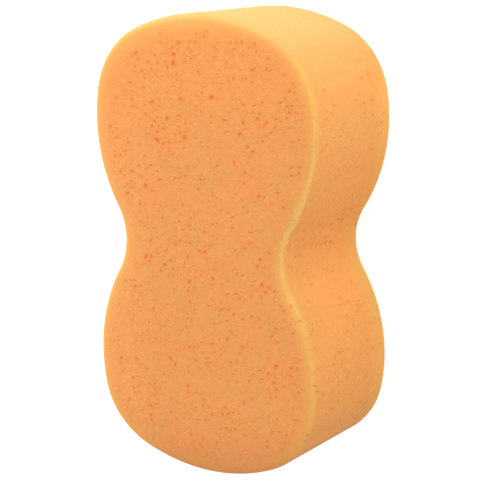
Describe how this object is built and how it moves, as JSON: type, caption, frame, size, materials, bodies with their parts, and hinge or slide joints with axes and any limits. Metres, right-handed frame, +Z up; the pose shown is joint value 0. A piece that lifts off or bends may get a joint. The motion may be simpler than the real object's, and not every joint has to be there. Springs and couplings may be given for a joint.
{
  "type": "cleaning sponge",
  "caption": "Thick foam cleaning sponge in a figure-eight outline, with rounded ends, a narrow waist for the hand and softly worn edges.",
  "frame": {"origin": "middle of the lower big face, on the surface that the sponge lies on", "axes": "+Y along the length, +X across the width, +Z up through the thickness"},
  "size_m": [0.1254, 0.22, 0.069],
  "materials": {
    "foam": "open-cell orange foam, dry and matt, with paler worn edges"
  },
  "bodies": {
    "root": {"foam_block": "foam"}
  },
  "joints": []
}
